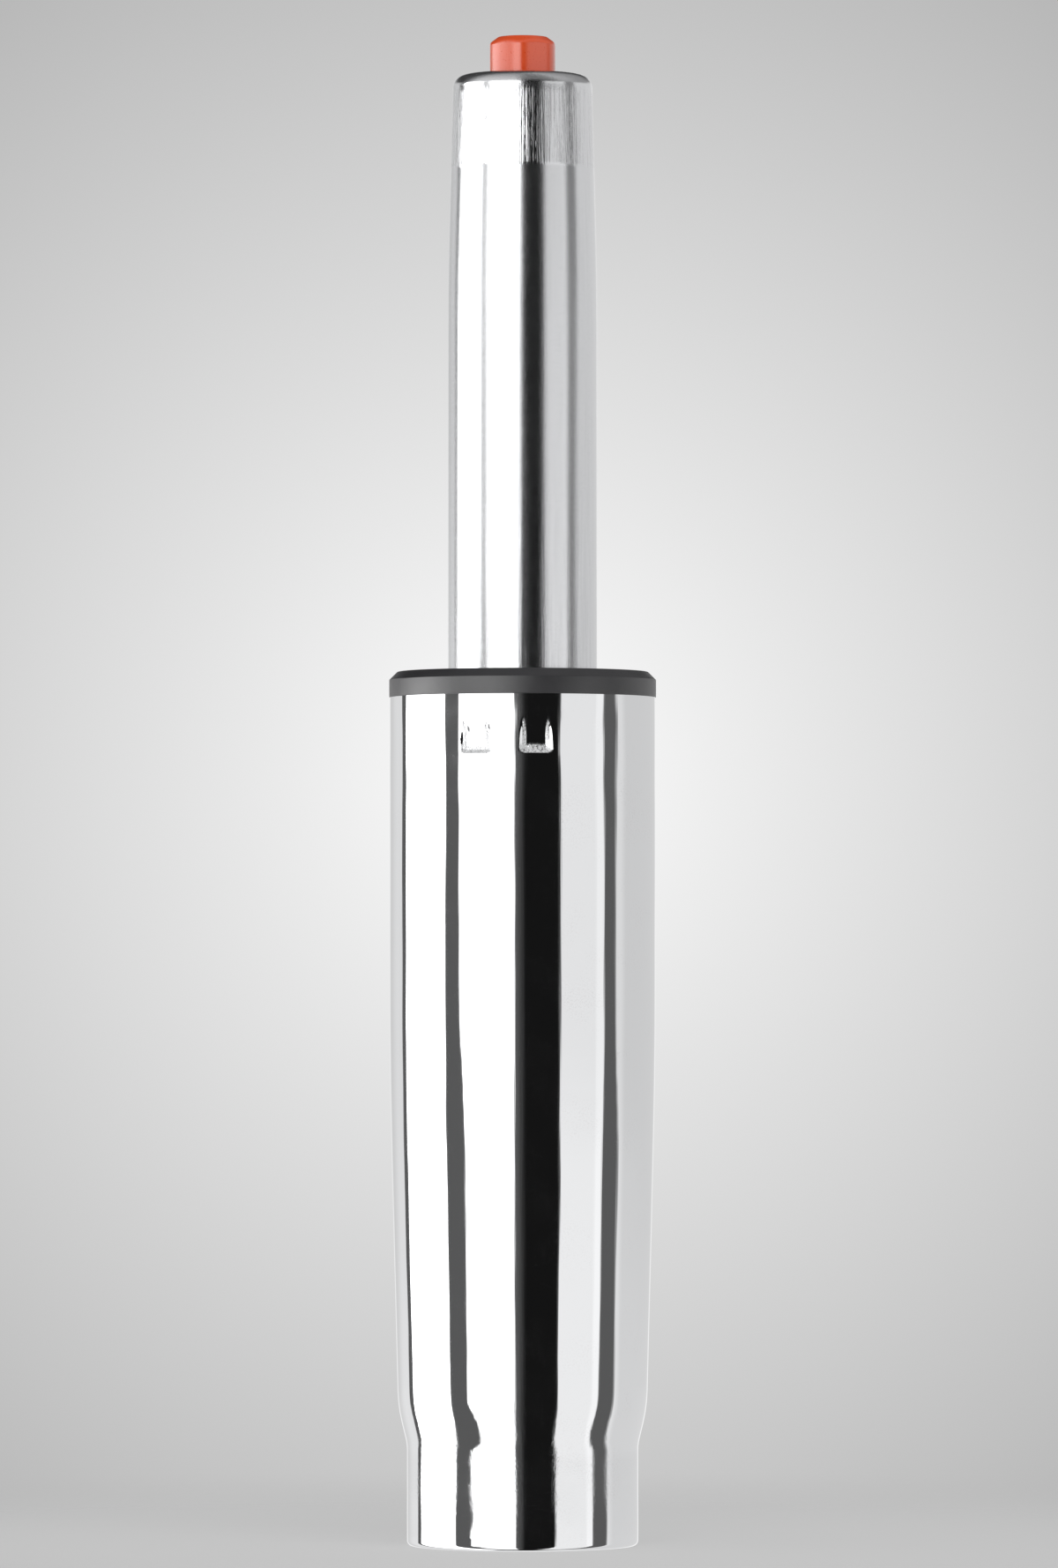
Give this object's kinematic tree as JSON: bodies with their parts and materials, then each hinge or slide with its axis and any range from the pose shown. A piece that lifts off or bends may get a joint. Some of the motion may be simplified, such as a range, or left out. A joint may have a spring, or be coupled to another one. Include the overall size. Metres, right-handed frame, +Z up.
{
  "type": "chair gas lift cylinder",
  "caption": "Height-adjusting gas lift for a swivel chair: a plated base tube with a hub cone, a guided steel column with a seat cone, and a release button on top.",
  "frame": {"origin": "middle of the foot rim's lower face, on the axis that all the pieces share, at full extension", "axes": "+Z up along the axis from the foot rim to the release button; -Y towards the side with the first pair of crimp dents; +X to the right as seen from -Y"},
  "size_m": [0.0502, 0.0502, 0.2836],
  "materials": {
    "chrome_plate": "mirror-polished plating",
    "ground_steel": "ground and polished, with fine vertical grinding marks on the cone",
    "black_acetal": "moulded with a fine grain",
    "orange_plastic": "moulded with a satin sheen",
    "zinc_steel": "zinc plated, dull",
    "bearing_steel": "hardened and ground",
    "rod_steel": "ground and hard plated",
    "spring_steel": "dark phosphated",
    "bumper_rubber": "matt",
    "seal_rubber": "smooth",
    "natural_nylon": "moulded",
    "white_glide": "smooth",
    "drawn_steel": "drawn, with a trace of oil",
    "cast_alloy": "die cast and turned"
  },
  "bodies": {
    "base_set": {"outer_tube": "chrome_plate", "guide_bush": "black_acetal", "base_cup": "zinc_steel", "lower_race": "bearing_steel"},
    "cage_set": {"ball_cage": "natural_nylon", "bearing_balls": "bearing_steel"},
    "rod_set": {"piston_rod": "rod_steel", "upper_race": "bearing_steel", "bumper_dish": "zinc_steel", "rubber_bumper": "bumper_rubber", "rod_washer": "zinc_steel", "retaining_clip": "spring_steel", "piston": "cast_alloy", "piston_glide_ring": "white_glide", "piston_o_ring": "seal_rubber", "piston_washer": "zinc_steel", "piston_nut": "zinc_steel"},
    "column_set": {"pressure_tube": "ground_steel", "inner_cylinder": "drawn_steel", "rod_guide": "natural_nylon", "guide_o_ring": "seal_rubber", "rod_seal": "seal_rubber", "cylinder_seat": "cast_alloy", "valve_body": "cast_alloy", "body_o_ring": "seal_rubber", "spigot_o_ring": "seal_rubber", "pin_seals": "seal_rubber", "seal_spacer": "natural_nylon", "valve_cap": "drawn_steel"},
    "button_set": {"release_button": "orange_plastic", "valve_pin": "rod_steel"}
  },
  "joints": [
    {"name": "swivel", "type": "hinge", "parent": "base_set", "child": "rod_set", "pos_m": [0, 0, 0.02], "axis": [0, 0, 1], "continuous": true},
    {"name": "cage_turn", "type": "hinge", "parent": "base_set", "child": "cage_set", "pos_m": [0, 0, 0.018], "axis": [0, 0, 1], "continuous": true},
    {"name": "height_slide", "type": "slide", "parent": "rod_set", "child": "column_set", "axis": [0, 0, 1], "range_m": [-0.055, 0]},
    {"name": "button_press", "type": "slide", "parent": "column_set", "child": "button_set", "axis": [0, 0, 1], "range_m": [-0.003, 0], "stiffness_N_per_m": 8000, "springref_m": 0.004}
  ],
  "couplings": [
    {"joint": "cage_turn", "follows": "swivel", "ratio": 0.5}
  ]
}
